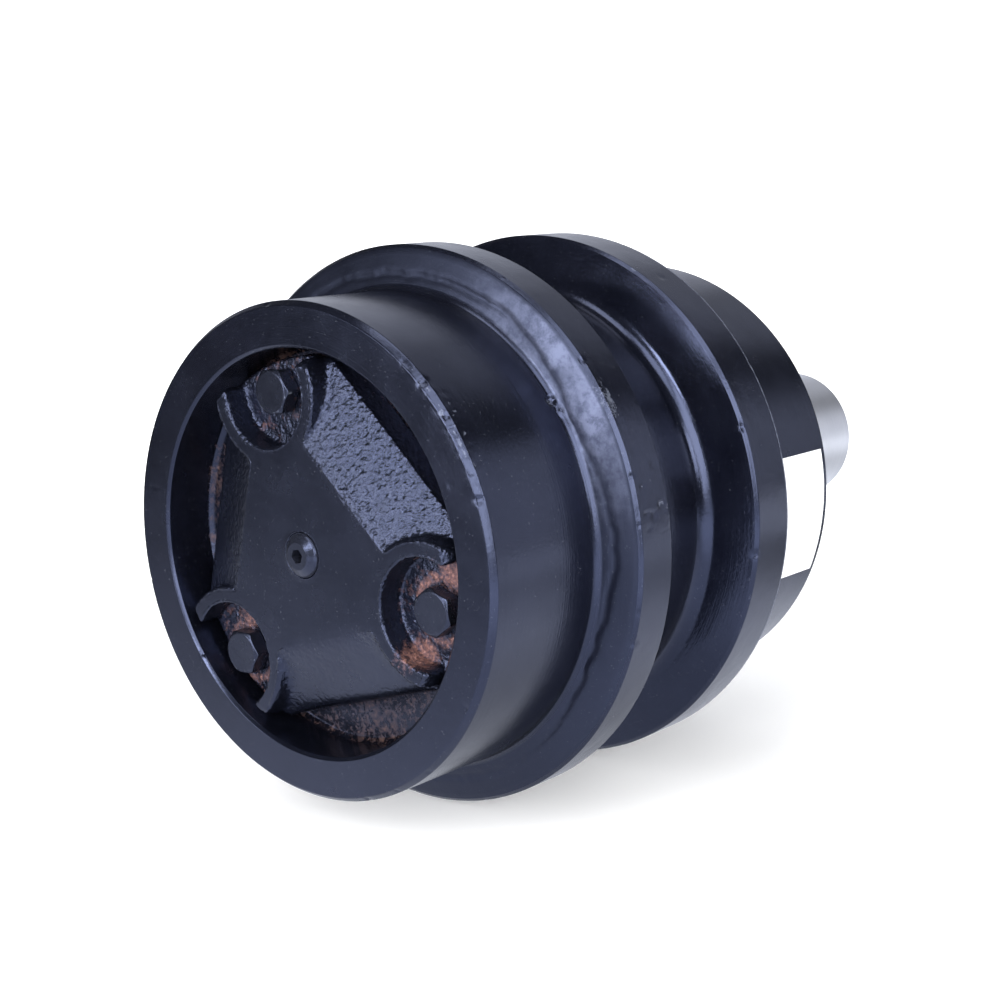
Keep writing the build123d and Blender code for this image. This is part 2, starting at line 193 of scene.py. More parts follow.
# ================================================================= materials
class Nodes:
    """Short names for a material's node tree."""

    def __init__(self, name):
        self.mat = bpy.data.materials.new(name)
        self.mat.use_nodes = True
        self.t = self.mat.node_tree
        self.t.nodes.clear()
        self.out = self.t.nodes.new("ShaderNodeOutputMaterial")
        self.bsdf = self.t.nodes.new("ShaderNodeBsdfPrincipled")
        self.t.links.new(self.bsdf.outputs[0], self.out.inputs[0])
        self.coord = self.t.nodes.new("ShaderNodeTexCoord").outputs["Object"]

    def put(self, socket, value):
        if isinstance(value, bpy.types.NodeSocket):
            self.t.links.new(value, socket)
        elif isinstance(value, (tuple, list)) and len(value) == 3 and socket.type == "RGBA":
            socket.default_value = (*value, 1)
        else:
            socket.default_value = value

    def set(self, **values):
        for k, v in values.items():
            self.put(self.bsdf.inputs[k.replace("_", " ")], v)

    def math(self, op, a, b=0.0, c=None, clamp=False):
        n = self.t.nodes.new("ShaderNodeMath")
        n.operation, n.use_clamp = op, clamp
        self.put(n.inputs[0], a)
        self.put(n.inputs[1], b)
        if c is not None:
            self.put(n.inputs[2], c)
        return n.outputs[0]

    def noise(self, scale, detail=3.0, rough=0.55, vector=None, distort=0.0):
        n = self.t.nodes.new("ShaderNodeTexNoise")
        self.put(n.inputs["Vector"], vector or self.coord)
        n.inputs["Scale"].default_value = scale
        n.inputs["Detail"].default_value = detail
        n.inputs["Roughness"].default_value = rough
        n.inputs["Distortion"].default_value = distort
        return n.outputs["Fac"]

    def voronoi(self, scale, vector=None, feature="F1"):
        n = self.t.nodes.new("ShaderNodeTexVoronoi")
        n.feature = feature
        self.put(n.inputs["Vector"], vector or self.coord)
        n.inputs["Scale"].default_value = scale
        return n.outputs["Distance"]

    def ramp(self, fac, stops, ease="EASE"):
        n = self.t.nodes.new("ShaderNodeValToRGB")
        n.color_ramp.interpolation = ease
        while len(n.color_ramp.elements) < len(stops):
            n.color_ramp.elements.new(0.5)
        for e, (pos, val) in zip(n.color_ramp.elements, stops):
            e.position = pos
            e.color = (*val, 1) if isinstance(val, (tuple, list)) else (val, val, val, 1)
        self.put(n.inputs[0], fac)
        return n.outputs["Color"]

    def mix(self, fac, a, b):
        n = self.t.nodes.new("ShaderNodeMix")
        n.data_type = "RGBA"
        self.put(n.inputs[0], fac)
        self.put(n.inputs[6], a)
        self.put(n.inputs[7], b)
        return n.outputs[2]

    def attr(self, name):
        n = self.t.nodes.new("ShaderNodeAttribute")
        n.attribute_name = name
        return n.outputs["Fac"]

    def mapping(self, scale):
        n = self.t.nodes.new("ShaderNodeMapping")
        self.put(n.inputs["Vector"], self.coord)
        n.inputs["Scale"].default_value = scale
        return n.outputs[0]

    def polar(self, k_radius, k_axial, k_turn):
        """(radius, axial place, angle) times the three numbers, as a vector."""
        s = self.t.nodes.new("ShaderNodeSeparateXYZ")
        self.put(s.inputs[0], self.coord)
        x, y, z = s.outputs
        rr = self.math("SQRT", self.math("ADD", self.math("MULTIPLY", x, x), self.math("MULTIPLY", z, z)))
        turn = self.math("ARCTAN2", z, x)
        c = self.t.nodes.new("ShaderNodeCombineXYZ")
        self.put(c.inputs[0], self.math("MULTIPLY", rr, k_radius))
        self.put(c.inputs[1], self.math("MULTIPLY", y, k_axial))
        self.put(c.inputs[2], self.math("MULTIPLY", turn, k_turn))
        return c.outputs[0]

    def bump(self, height, strength, distance, normal=None):
        n = self.t.nodes.new("ShaderNodeBump")
        n.inputs["Strength"].default_value = strength
        n.inputs["Distance"].default_value = distance
        self.put(n.inputs["Height"], height)
        if normal is not None:
            self.put(n.inputs["Normal"], normal)
        return n.outputs[0]


def paint(name, dark, light, rough, peel=0.25, grain=0.3, turned=0.0, worn=True, raw=0.0, skin=False,
          browns=((0.030, 0.019, 0.014), (0.085, 0.045, 0.030), (0.19, 0.105, 0.070))):
    """Satin paint over steel: mottled colour, orange peel, wear, rust and a painted sheen from the mesh's attributes.
    """
    m = Nodes(name)
    cloud = m.noise(38.0, 4.0, 0.6)
    fine = m.noise(420.0, 3.0, 0.6)
    mottled = m.math("ADD", m.math("MULTIPLY", cloud, 0.7), m.math("MULTIPLY", fine, 0.3))
    colour = m.ramp(mottled, [(0.32, dark), (0.68, light)])
    # pale specks of dust caught in the paint
    speck = m.ramp(m.noise(1500.0, 1.0, 0.5), [(0.70, 0.0), (0.78, 1.0)])
    colour = m.mix(m.math("MULTIPLY", speck, 0.25), colour, (0.10, 0.11, 0.13))
    roughness = m.math("ADD", rough, m.math("MULTIPLY", m.math("SUBTRACT", m.noise(90.0, 4.0), 0.5), 0.22))
    if raw:
        # unmachined faces are duller, and where the mesh says so they get a mottled grey painted sheen, a painted
        # highlight
        roughness = m.math("ADD", roughness, m.math("MULTIPLY", m.attr("raw"), raw))
        grey = m.ramp(m.math("ADD", m.math("MULTIPLY", m.noise(330.0, 5.0, 0.7), 0.75), m.math("MULTIPLY", m.noise(70.0, 3.0, 0.6), 0.25)),
                      [(0.36, (0.026, 0.030, 0.050)), (0.62, (0.100, 0.112, 0.170))])
        colour = m.mix(m.attr("painted_sheen"), colour, grey)
    height = m.math("ADD", m.math("MULTIPLY", m.noise(1000.0, 2.0, 0.5), peel),
                    m.math("MULTIPLY", m.noise(2600.0, 2.0, 0.6), 0.25 * grain))
    if skin:
        # the cast skin is coarse only where the mesh says so
        height = m.math("MULTIPLY", height, m.attr("skin"))
    if turned:
        lines = m.noise(1.0, 2.0, 0.7, vector=m.polar(1500.0, 1500.0, 0.5))
        height = m.math("ADD", height, m.math("MULTIPLY", lines, turned))
    if worn:
        wear = m.attr("wear")
        torn = m.ramp(m.math("ADD", wear, m.math("MULTIPLY", m.math("SUBTRACT", m.noise(650.0, 4.0, 0.65), 0.5), 0.8)),
                      [(0.42, 0.0), (0.60, 1.0)])
        bare = m.ramp(m.noise(900.0, 3.0), [(0.3, (0.028, 0.032, 0.045)), (0.7, (0.085, 0.094, 0.12))])
        colour = m.mix(torn, colour, bare)
        rust = m.attr("rust")
        rusty = m.ramp(m.math("ADD", rust, m.math("MULTIPLY", m.math("SUBTRACT", m.noise(520.0, 6.0, 0.72), 0.5), 1.5)),
                       [(0.34, 0.0), (0.86, 1.0)])
        brown = m.ramp(m.noise(900.0, 5.0, 0.75), list(zip((0.36, 0.52, 0.70), browns)))
        colour = m.mix(rusty, colour, brown)
        roughness = m.math("ADD", roughness, m.math("MULTIPLY", torn, 0.12))
        roughness = m.math("ADD", roughness, m.math("MULTIPLY", rusty, 0.45), clamp=True)
        height = m.math("SUBTRACT", height, m.math("MULTIPLY", torn, 0.15))
        height = m.math("ADD", height, m.math("MULTIPLY", rusty, m.math("MULTIPLY", m.noise(1400.0, 3.0), 0.8)))
    m.set(Base_Color=colour, Roughness=roughness, IOR=1.70)
    m.set(Specular_Tint=(0.50, 0.585, 0.97, 1))
    m.set(Normal=m.bump(height, 0.55, 0.00022))
    return m.mat


def metal(name, dark, light, rough, turned=0.4, axis_lines=True, stain=(0.25, 0.2, 0.15), stains=0.25,
          overspray=None):
    """Machined metal with fine lathe lines, stains and small pits."""
    m = Nodes(name)
    lines = m.noise(1.0, 3.0, 0.75, vector=m.polar(5200.0, 5200.0, 0.9) if axis_lines else m.mapping((3000, 200, 3000)))
    broad = m.noise(60.0, 4.0, 0.6)
    tone = m.math("ADD", m.math("MULTIPLY", lines, 0.5), m.math("MULTIPLY", broad, 0.5))
    colour = m.ramp(tone, [(0.3, dark), (0.7, light)])
    spot = m.ramp(m.noise(240.0, 5.0, 0.7), [(0.60, 0.0), (0.80, 1.0)])
    colour = m.mix(m.math("MULTIPLY", spot, stains), colour, stain)
    roughness = m.math("ADD", rough, m.math("MULTIPLY", m.math("SUBTRACT", lines, 0.5), 0.25))
    height = m.math("ADD", m.math("MULTIPLY", lines, turned), m.math("MULTIPLY", m.noise(900.0, 2.0), 0.15))
    m.set(Base_Color=colour, Metallic=1.0, Roughness=roughness)
    if overspray is not None:
        # dark paint outside this radius, where the edge shows
        radius = m.t.nodes.new("ShaderNodeSeparateXYZ")
        m.put(radius.inputs[0], m.polar(1.0, 1.0, 1.0))
        covered = m.math("GREATER_THAN", radius.outputs[0], overspray)
        m.set(Base_Color=m.mix(covered, colour, (0.009, 0.010, 0.015)),
              Metallic=m.math("SUBTRACT", 1.0, covered), Specular_Tint=(0.50, 0.585, 0.97, 1))
    m.set(Normal=m.bump(height, 0.35, 0.00006))
    return m.mat


def rubber(name):
    m = Nodes(name)
    colour = m.ramp(m.noise(180.0, 4.0), [(0.3, (0.010, 0.010, 0.011)), (0.7, (0.030, 0.030, 0.032))])
    m.set(Base_Color=colour, Roughness=m.math("ADD", 0.5, m.math("MULTIPLY", m.noise(600.0), 0.2)))
    m.set(Normal=m.bump(m.noise(2500.0, 3.0), 0.3, 0.0001))
    return m.mat


def sticker(name):
    m = Nodes(name)
    colour = m.ramp(m.noise(70.0, 4.0), [(0.3, (0.80, 0.81, 0.82)), (0.7, (0.90, 0.90, 0.90))])
    m.set(Base_Color=colour, Roughness=m.math("ADD", 0.38, m.math("MULTIPLY", m.noise(150.0), 0.2)),
          Coat_Weight=0.2, Coat_Roughness=0.25)
    m.set(Normal=m.bump(m.noise(260.0, 3.0), 0.25, 0.0002))
    return m.mat


roller_paint = paint("roller_paint", (0.0014, 0.0016, 0.0030), (0.0030, 0.0034, 0.0063), 0.23, turned=0.25, raw=0.16)
cover_paint = paint("cover_paint", (0.0018, 0.0021, 0.0038), (0.0040, 0.0046, 0.0080), 0.25, peel=2.4, grain=2.0, skin=True,
                    browns=((0.022, 0.011, 0.009), (0.125, 0.055, 0.036), (0.34, 0.17, 0.125)))
bolt_paint = paint("bolt_paint", (0.0026, 0.0029, 0.0046), (0.0060, 0.0066, 0.0098), 0.28, peel=0.3, grain=0.5)
plug_paint = paint("plug_paint", (0.005, 0.0056, 0.0085), (0.009, 0.010, 0.015), 0.26, peel=0.5, grain=0.6, worn=False)
collar_paint = paint("collar_paint", (0.0055, 0.0062, 0.012), (0.0085, 0.0095, 0.018), 0.32, turned=0.3, worn=False)
ground_steel = metal("ground_steel", (0.80, 0.81, 0.84), (0.93, 0.94, 0.97), 0.42, stains=0.10)
plate_steel = metal("plate_steel", (0.24, 0.24, 0.25), (0.40, 0.40, 0.42), 0.36)
seal_iron = metal("seal_iron", (0.22, 0.22, 0.23), (0.36, 0.36, 0.37), 0.28)
bronze = metal("bronze", (0.42, 0.28, 0.13), (0.62, 0.44, 0.22), 0.3, stain=(0.16, 0.10, 0.05))
copper = metal("copper", (0.52, 0.24, 0.13), (0.70, 0.36, 0.22), 0.3, stain=(0.2, 0.1, 0.06), overspray=0.0061)
seal_rubber = rubber("seal_rubber")
label_white = sticker("label_white")

by_node = {
    "roller_shell": roller_paint, "end_cover": cover_paint, "cover_bolts": bolt_paint,
    "filler_plug": plug_paint, "filler_plug_washer": copper, "cover_o_ring": seal_rubber,
    "front_bushing": bronze, "rear_bushing": bronze, "front_thrust_washer": bronze,
    "rear_thrust_washer": bronze, "rotating_seal_ring": seal_iron, "rotating_toric": seal_rubber,
    "blank_label": label_white, "shaft": ground_steel, "retaining_plate": plate_steel,
    "retaining_plate_washers": plate_steel, "retaining_plate_bolts": plate_steel,
    "seal_collar": collar_paint, "collar_o_ring": seal_rubber,
    "stationary_seal_ring": seal_iron, "stationary_toric": seal_rubber,
}
for name, mat in by_node.items():
    me = nodes[name].data
    if len(me.materials) == 0:
        me.materials.append(mat)
    for i in range(len(me.materials)):
        me.materials[i] = mat


# ============================================================ roller shell
outer = [
    (0.0, 73.5, 0.45), (1.9, 75.0, 0.6), (44.9, 75.0, 2.6), (48.1, 87.65, 0.3),
    (49.2, 88.75, 0.3), (62.9, 88.75, 0.4), (64.0, 87.65, 0.4), (68.9, 71.4, 6.0),
    (104.3, 71.4, 6.0), (109.2, 87.65, 0.3), (110.3, 88.75, 0.3), (126.8, 88.75, 0.4),
    (127.9, 87.65, 0.4), (131.1, 75.0, 2.6), (174.6, 75.0, 0.6), (176.5, 73.5, 0.45),
]
inner = [
    (176.5, 49.6, 0.3), (175.5, 48.6, 0.3), (160.6, 48.6, 0.2), (160.6, 45.8, 0),
    (158.5, 45.4, 0), (150.5, 43.4, 0), (150.5, 34.4, 0), (139.7, 34.4, 0), (139.7, 29.5, 0),
    (100.0, 29.5, 0), (100.0, 31.5, 0), (84.0, 31.5, 0), (84.0, 29.5, 0), (44.3, 29.5, 0),
    (44.3, 37.0, 0), (27.5, 37.0, 0), (27.5, 39.0, 0), (18.8, 39.0, 0), (18.0, 39.8, 0),
    (18.0, 59.7, 1.2), (16.4, 61.3, 1.2), (0.9, 61.3, 0.35), (0.0, 62.2, 0.35),
]
OUTER_SEEN = 58.0


def shell_spacing(p):
    z, r = p
    return 1.0 if (r > OUTER_SEEN or (z > 176.0 and r > 48)) else 30.0


line = refine(rounded(outer + inner), shell_spacing)
TURN = 960
ang = np.arange(TURN) * 2 * math.pi / TURN
rings = len(line)
Z = np.repeat(line[:, 0], TURN)
R = np.repeat(line[:, 1], TURN)
A = np.tile(ang, rings)
# outward direction of the profile, half-way between its two neighbours
d = np.roll(line, -1, 0) - np.roll(line, 1, 0)
d /= np.linalg.norm(d, axis=1)[:, None] + 1e-12
nz, nr = np.repeat(-d[:, 1], TURN), np.repeat(d[:, 0], TURN)
P = np.column_stack([R * np.cos(A), Z, R * np.sin(A)])
deg = (np.degrees(A) + 180) % 360 - 180      # 0 at +X, 90 at the top

seen = (R > OUTER_SEEN)
forged = smooth(R, 75.6, 77.5) * (1 - smooth(R, 87.0, 88.2))
hub = ((Z > 64) & (Z < 109.5) & (R < 78)).astype(float)
forged = np.maximum(forged, hub)
rim = smooth(R, 87.6, 88.6)
tread = ((np.abs(R - 75) < 0.2) & seen).astype(float)
face = ((Z < 0.2) & seen).astype(float)

push = np.zeros(len(Z))
push += forged * (0.045 * fbm(P, 11.0, 3, 2) + 0.014 * fbm(P, 2.4, 5, 3))
push += rim * (0.035 * fbm(P, 5.0, 7, 3) - 0.035)
push += tread * (0.014 * fbm(P, 14.0, 9, 3) + 0.006 * fbm(P * np.array([1, 2.5, 1]), 2.0, 11, 2) - 0.014)
push += face * (0.012 * fbm(P, 8.0, 13, 3) - 0.012)

# the forging line that wanders round the front flange's face
wander_deg = np.array([-180, -150, -120, -90, -62, -40, -21.8, -4.6, 2.0, 14.4, 25.3, 32.8, 45, 62, 90, 120, 150, 180])
wander_r = np.array([80.0, 79.0, 80.6, 79.4, 80.4, 78.6, 77.2, 79.0, 81.0, 80.0, 78.2, 76.8, 78.8, 80.6, 79.3, 81.0, 79.8, 80.0])
wr = np.interp(deg, wander_deg, wander_r) + 0.45 * vnoise(P, 5.0, 21) + 0.25 * vnoise(P, 2.2, 23)
on_face1 = ((Z > 44) & (Z < 49.0) & (R > 76.3)).astype(float) * (1 - smooth(R, 86.6, 87.5))
push += on_face1 * (-0.52 * np.exp(-((R - wr) / 0.8) ** 2) + 0.30 * smooth(R, 0, 1) * (1 / (1 + np.exp(-(R - wr) / 0.5)) - 0.5))

# painted highlight: a mottled lighter grey sheen on the front flange's face round 41 degrees, where the light falls,
# fainter along the forging line
painted_sheen = on_face1 * np.exp(-(np.abs(deg - 41) / 24.0) ** 3) * (0.78 + 0.5 * fbm(P, 6.0, 27, 3)) * (1 - 0.7 * np.exp(-((R - wr) / 0.9) ** 2))

# dents and chips: (station, radius, degrees, size, depth)
dents = [
    (0.0, 66.2, 26.1, 0.9, 0.16), (0.0, 72.7, -26.8, 0.8, 0.2), (0.0, 63.7, 137.1, 0.9, 0.2),
    (43.9, 75.2, 38.6, 1.3, 0.85), (44.9, 75.9, 35.2, 1.1, -0.45), (0.0, 70.1, -80.0, 0.7, 0.12), (0.0, 68.0, 170.0, 0.8, 0.1),
    (49.0, 88.3, 41.7, 1.0, 0.35), (49.2, 88.4, 18.0, 0.9, 0.3), (56.0, 88.7, 10.0, 1.3, 0.2),
    (63.4, 88.2, 7.0, 1.1, 0.35), (49.0, 88.2, -14.0, 1.2, 0.35), (110.0, 88.2, 22.0, 1.0, 0.3),
    (110.0, 88.2, -4.0, 1.3, 0.35), (127.0, 88.3, 35.0, 1.0, 0.3), (127.2, 88.3, -60.0, 1.2, 0.35),
    (118.0, 88.7, 60.0, 1.4, 0.2), (60.0, 88.7, 120.0, 1.3, 0.22), (120.0, 88.7, -150.0, 1.4, 0.22),
    (0.8, 61.9, 35.0, 0.9, 0.25), (0.8, 61.9, -140.0, 1.0, 0.25), (0.8, 61.9, 88.0, 0.8, 0.2),
    (1.0, 74.3, -70.0, 1.1, 0.3), (1.0, 74.3, 100.0, 1.1, 0.3), (1.0, 74.3, -165.0, 1.1, 0.3),
]
rng = np.random.RandomState(11)
for a in rng.uniform(20, 60, 16):
    dents.append((rng.uniform(0.2, 1.8), 74.3, a, rng.uniform(0.5, 1.3), rng.uniform(0.10, 0.32)))
for a in rng.uniform(-180, 180, 26):
    dents.append((rng.uniform(0.2, 1.8), 74.3, a, rng.uniform(0.4, 0.9), rng.uniform(0.06, 0.2)))
for z0, n in ((48.8, 20), (63.3, 16), (109.9, 14), (127.2, 14)):
    for a in rng.uniform(-180, 180, n):
        dents.append((z0, 88.3, a, rng.uniform(0.5, 1.6), rng.uniform(0.03, 0.13)))
wear = np.zeros(len(Z))
for z0, r0, a0, size, depth in dents:
    c = np.array([r0 * math.cos(math.radians(a0)), z0, r0 * math.sin(math.radians(a0))])
    near = np.where(np.abs(deg - a0) < math.degrees(size * 3.2 / r0) + 0.1)[0]
    q = P[near] - c
    q = q + 0.35 * size * np.column_stack([vnoise(P[near], 1.1, 31), vnoise(P[near], 1.1, 32), vnoise(P[near], 1.1, 33)])
    g = np.exp(-(np.einsum("ij,ij->i", q, q) / size ** 2) ** 1.4)
    push[near] -= depth * g
    wear[near] = np.maximum(wear[near], g * (0.30 if r0 > 80 else 0.25 + 0.5 * min(depth, 0.5)))

# the front edge is scuffed over a stretch on the upper right
scuffed = np.exp(-((deg - 38) / 19.0) ** 2) * smooth(R, 71.5, 73.2) * (1 - smooth(Z, 3.5, 8.0))
push += scuffed * (0.07 * fbm(P, 2.0, 51, 3) - 0.06 * smooth(fbm(P, 2.2, 53, 3), 0.1, 0.5) - 0.03)
flange_scuff = np.exp(-((deg - 14) / 7.0) ** 2) * rim * ((Z > 47) & (Z < 66))
push += flange_scuff * (0.05 * fbm(P * np.array([1, 0.5, 1]), 1.8, 55, 2) - 0.22 * smooth(vnoise(P * np.array([1, 0.4, 1]), 1.5, 57), 0.35, 0.8) - 0.04)
edge_scuff = np.exp(-((deg - 33) / 8.0) ** 2) * smooth(R, 86.4, 87.4) * ((Z > 47) & (Z < 53))
push += edge_scuff * (0.08 * fbm(P, 2.0, 59, 3) - 0.05)

# paint rubbed thin along the outstanding edges
edge_front = np.exp(-(((Z - 0.9) / 1.1) ** 2 + ((R - 74.4) / 0.9) ** 2))
# the lit side round 40 degrees gets more of the lighter bare colour: wear, and in part a painted highlight
lit_side = 0.35 + 0.65 * np.exp(-((deg - 40) / 24.0) ** 2)
wear = np.maximum(wear, edge_front * lit_side * (0.46 + 0.5 * fbm(P, 2.2, 41, 3)))
wear = np.maximum(wear, 0.60 * scuffed * smooth(fbm(P, 2.2, 53, 3), -0.1, 0.5))
wear = np.maximum(wear, 0.55 * flange_scuff * smooth(vnoise(P * np.array([1, 0.4, 1]), 1.5, 57), 0.3, 0.7))
wear = np.maximum(wear, 0.50 * edge_scuff)
edge_rims = np.exp(-((R - 88.4) / 0.45) ** 2) * (
    np.exp(-((Z - 48.9) / 0.6) ** 2) + np.exp(-((Z - 63.2) / 0.6) ** 2)
    + np.exp(-((Z - 110.0) / 0.6) ** 2) + np.exp(-((Z - 127.1) / 0.6) ** 2))
wear = np.maximum(wear, edge_rims * (0.30 + 0.4 * fbm(P, 5.0, 43, 3)))
# a thin lighter line along the rear edge of the rear flange's rim
wear = np.maximum(wear, 0.85 * np.exp(-((Z - 126.5) / 0.35) ** 2) * (R > 88.5))
edge_mouth = np.exp(-(((Z - 0.4) / 0.5) ** 2 + ((R - 61.8) / 0.5) ** 2))
wear = np.maximum(wear, edge_mouth * (0.26 + 0.5 * fbm(P, 4.0, 45, 3)))
rust = np.zeros(len(Z))
in_recess = ((Z > 1.5) & (Z < 19) & (R < 61.6) & (R > 38)).astype(float)
rust = np.maximum(rust, in_recess * (smooth(Z, 14.0, 17.8) * 0.40 + 0.02 + 0.22 * fbm(P, 7.0, 47, 3)))
push[in_recess > 0] += (0.05 * fbm(P[in_recess > 0], 2.5, 49, 3))

z1 = Z + nz * push
r1 = R + nr * push
r1 = np.minimum(r1, 88.74)
verts = np.column_stack([r1 * np.cos(A), z1 - ORIGIN_Z, r1 * np.sin(A)]) * MM
i = np.arange(rings)[:, None] * TURN
j = np.arange(TURN)[None, :]
i2 = ((np.arange(rings) + 1) % rings)[:, None] * TURN
j2 = (j + 1) % TURN
quads = np.stack([i + j, i2 + j, i2 + j2, i + j2], -1).reshape(-1, 4)
shell = make_object("shell_body", verts, quads)
shell.data.flip_normals() if (normals(shell.data)[np.argmax(R)] @ np.array([math.cos(A[np.argmax(R)]), 0, math.sin(A[np.argmax(R)])])) < 0 else None
attribute(shell, "wear", np.clip(wear, 0, 1))
attribute(shell, "rust", np.clip(rust, 0, 1))
attribute(shell, "raw", np.clip(forged, 0, 1) * np.where((Z > 62) & (Z < 112), -0.3, 1.0))
attribute(shell, "painted_sheen", np.clip(painted_sheen, 0, 1))
shell.data.materials.append(roller_paint)
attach(shell, "roller")
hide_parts("roller_shell")


# ================================================================== cover
def copy_of(node, name):
    """A welded copy of a node's mesh, as a new object."""
    me = nodes[node].data.copy()
    me.name = name
    me.materials.clear()
    bm = bmesh.new()
    bm.from_mesh(me)
    bmesh.ops.remove_doubles(bm, verts=bm.verts, dist=2e-6)
    bm.to_mesh(me)
    bm.free()
    ob = bpy.data.objects.new(name, me)
    bpy.context.scene.collection.objects.link(ob)
    return ob


def apply_modifiers(ob):
    dg = bpy.context.evaluated_depsgraph_get()
    me = bpy.data.meshes.new_from_object(ob.evaluated_get(dg))
    ob.modifiers.clear()
    old = ob.data
    ob.data = me
    bpy.data.meshes.remove(old)


def relax(co, edges, weight, rounds):
    """Laplacian smoothing of points co along edges, by each point's weight."""
    n = len(co)
    deg_ = np.bincount(edges.ravel(), minlength=n).astype(float)
    for _ in range(rounds):
        mean = np.empty_like(co)
        for k in range(3):
            s = np.bincount(edges[:, 0], weights=co[edges[:, 1], k], minlength=n)
            s += np.bincount(edges[:, 1], weights=co[edges[:, 0], k], minlength=n)
            mean[:, k] = s / np.maximum(deg_, 1)
        co = co + (mean - co) * weight[:, None]
    return co


cover = copy_of("end_cover", "cover_casting")
mod = cover.modifiers.new("remesh", "REMESH")
mod.mode, mod.voxel_size, mod.adaptivity = "VOXEL", 0.0004, 0.0
mod.use_smooth_shade = True
apply_modifiers(cover)
me = cover.data
co = coords(me)
ed = np.empty(len(me.edges) * 2, np.int32)
me.edges.foreach_get("vertices", ed)
ed = ed.reshape(-1, 2)
z = co[:, 1] / MM + ORIGIN_Z
x, h = co[:, 0] / MM, co[:, 2] / MM
r = np.hypot(x, h)
# the bore, the spigot and the seat keep their size; the cast front is softened
front = (1 - smooth(z, 12.0, 15.5)) * smooth(r, 7.4, 8.6)
co = relax(co, ed, 0.12 + 0.43 * front, 14)
# the slopes below and on the left are smoother than the one above, the one below also rounder
below = front * smooth((0.32 * x - 0.947 * h) / np.maximum(r, 1.0), 0.79, 0.90)
left = front * smooth((-0.98 * x + 0.196 * h) / np.maximum(r, 1.0), 0.79, 0.90)
ends = ed[(below[ed] > 0).any(1)]
near, ends = np.unique(ends, return_inverse=True)
co[near] = relax(co[near], ends.reshape(-1, 2), 0.5 * below[near], 200)
me.vertices.foreach_set("co", co.astype(np.float32).ravel())
me.update()
no = normals(me)
p = co / MM + np.array([0, ORIGIN_Z, 0])
z, r = p[:, 1], np.hypot(p[:, 0], p[:, 2])
cast = front * (r > 7.6)
flat = smooth(-no[:, 1], 0.985, 0.998) * (z < 1.2)
tilt = np.array([[0.36, 0.48, -0.8], [-0.8, 0.6, 0.0], [0.48, 0.64, 0.6]])
pt = p @ tilt
coarse = 1 - 0.78 * below - 0.55 * left
grainy = 0.03 * vnoise(pt, 2.6, 63) + 0.09 * vnoise(pt, 0.95, 64)
pits = -0.18 * smooth(vnoise(pt, 1.0, 65), 0.25, 0.70) - 0.08 * smooth(vnoise(pt, 1.9, 67), 0.50, 0.9)
streaks = 0.009 * vnoise(p * np.array([0.22, 1.0, 1.0]), 1.3, 69) + 0.008 * vnoise(pt, 1.9, 70)
move = cast * ((1 - flat) * coarse * (grainy + pits) + flat * streaks + 0.04 * vnoise(p, 8.0, 61)) - 0.05 * cast
co = co + no * (move * MM)[:, None]
low_y = cad_box[0].y
co[:, 1] = np.maximum(co[:, 1], (0.3 - ORIGIN_Z - 0.12) * MM)
me.vertices.foreach_set("co", co.astype(np.float32).ravel())
me.update()

BOLT_CIRCLE, BOLT_TURNS = 49.3, (-11.3, 108.7, 228.7)
bolt_xy = [(BOLT_CIRCLE * math.cos(math.radians(a)), BOLT_CIRCLE * math.sin(math.radians(a))) for a in BOLT_TURNS]
pocket = np.zeros(len(co))
for bx, bh in bolt_xy:
    dist = np.hypot(p[:, 0] - bx, p[:, 2] - bh)
    pocket = np.maximum(pocket, (1 - smooth(dist, 17.5, 19.5)) * smooth(z, 5.5, 8.4))
rust = pocket * (0.30 + 0.3 * fbm(p, 5.0, 71, 3))
cover_rust = [
    (41.5, 9.0, -24.0, 6.5, 0.95), (52.0, 9.0, 1.5, 7.0, 0.95), (-34.0, 9.0, -27.0, 5.0, 0.85),
    (-22.0, 9.0, -46.0, 5.0, 0.85), (-14.0, 9.0, 42.0, 3.0, 0.3),
]
for cx, cz, ch, size, amount in cover_rust:
    g = np.exp(-((p[:, 0] - cx) ** 2 + (p[:, 2] - ch) ** 2 + 0.3 * (z - cz) ** 2) / size ** 2)
    rust = np.maximum(rust, amount * g)
for (bx, bh), amount in zip(bolt_xy, (0.74, 0.20, 0.62)):
    ring = np.exp(-((np.hypot(p[:, 0] - bx, p[:, 2] - bh) - 9.4) / 2.4) ** 2) * smooth(z, 5.5, 8.0)
    rust = np.maximum(rust, amount * ring * (1 + 0.35 * fbm(p, 6.0, 77, 3)))
rust = np.maximum(rust, smooth(z, 10.0, 17.0) * (r > 50) * 0.3)
wear = np.clip(0.30 * smooth(vnoise(p, 1.4, 73), 0.62, 0.9), 0, 1) * cast
attribute(cover, "wear", wear)
attribute(cover, "rust", np.clip(rust, 0, 1))
attribute(cover, "skin", (1 - 0.88 * flat) * (1 - 0.65 * below - 0.45 * left))
me.materials.clear()
me.materials.append(cover_paint)
me.polygons.foreach_set("use_smooth", np.ones(len(me.polygons), bool))
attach(cover, "roller")
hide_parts("end_cover")


# ============================================================ cover bolts
def hex_radius(theta, af, soft):
    """Distance from the middle to a hexagon's side, with softened corners."""
    a = (theta + math.pi / 6) % (math.pi / 3) - math.pi / 6
    flat = af / 2 / np.cos(a)
    corner = af / 2 / math.cos(math.pi / 6)
    k = soft
    return -k * np.log(np.exp(-flat / k) + np.exp(-(corner - 0.22) / k))


